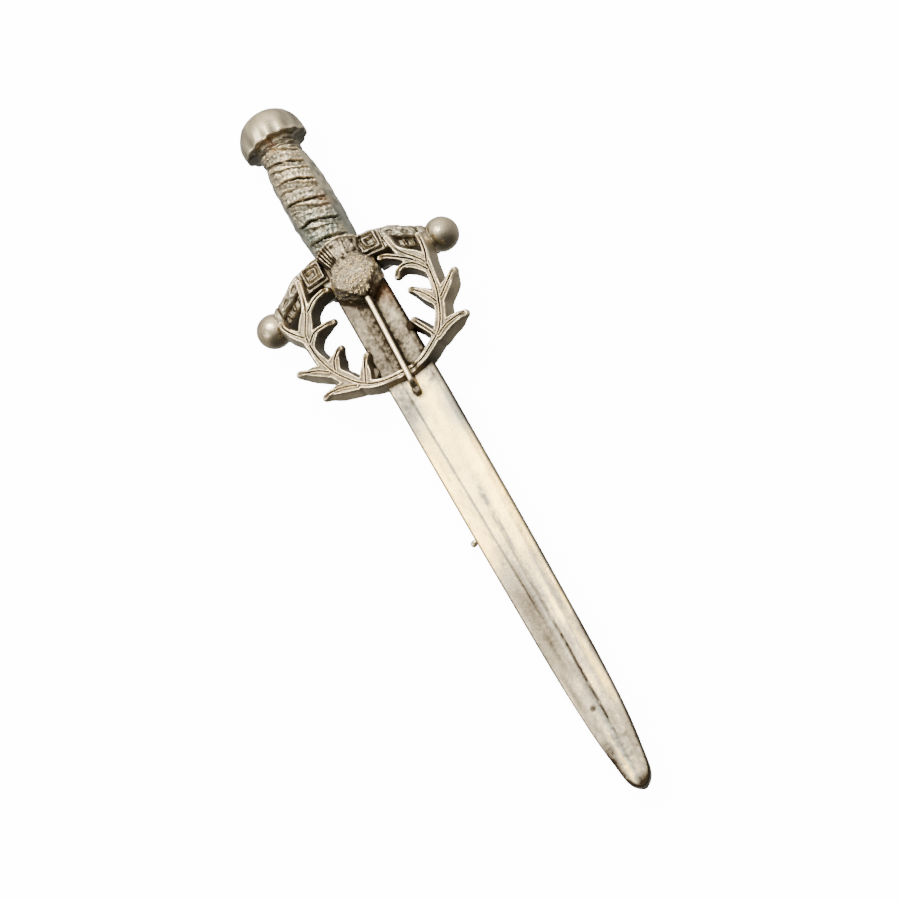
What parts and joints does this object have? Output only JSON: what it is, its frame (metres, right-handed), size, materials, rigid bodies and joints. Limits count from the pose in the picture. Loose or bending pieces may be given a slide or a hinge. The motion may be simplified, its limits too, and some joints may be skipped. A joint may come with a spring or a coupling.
{
  "type": "kilt pin",
  "caption": "Cast kilt pin in the form of a basket-style short sword, with a thistle and a leafy wreath over the blade and a pin fastening behind it.",
  "frame": {"origin": "middle of the box around the pin, on the surface that it lies on", "axes": "+Y along the sword from the blade's point to the pommel, +X across the guard, +Z out of the sword's face"},
  "size_m": [0.0282, 0.102, 0.0093],
  "materials": {
    "blade": "satin cast metal, warm grey, dulled behind the wreath",
    "grip": "antiqued cast metal with dark, slightly green recesses",
    "pommel": "worn satin cast metal",
    "guard": "worn bright on the high places, dark brown in the recesses",
    "thistle": "worn bright on the scales, dark brown between them",
    "wreath": "worn bright on the veins and rims, dark walls",
    "brooch_pin": "plain dull metal"
  },
  "bodies": {
    "root": {"blade": "blade", "grip": "grip", "pommel": "pommel", "guard": "guard", "thistle": "thistle", "wreath": "wreath", "brooch_pin": "brooch_pin"}
  },
  "joints": []
}
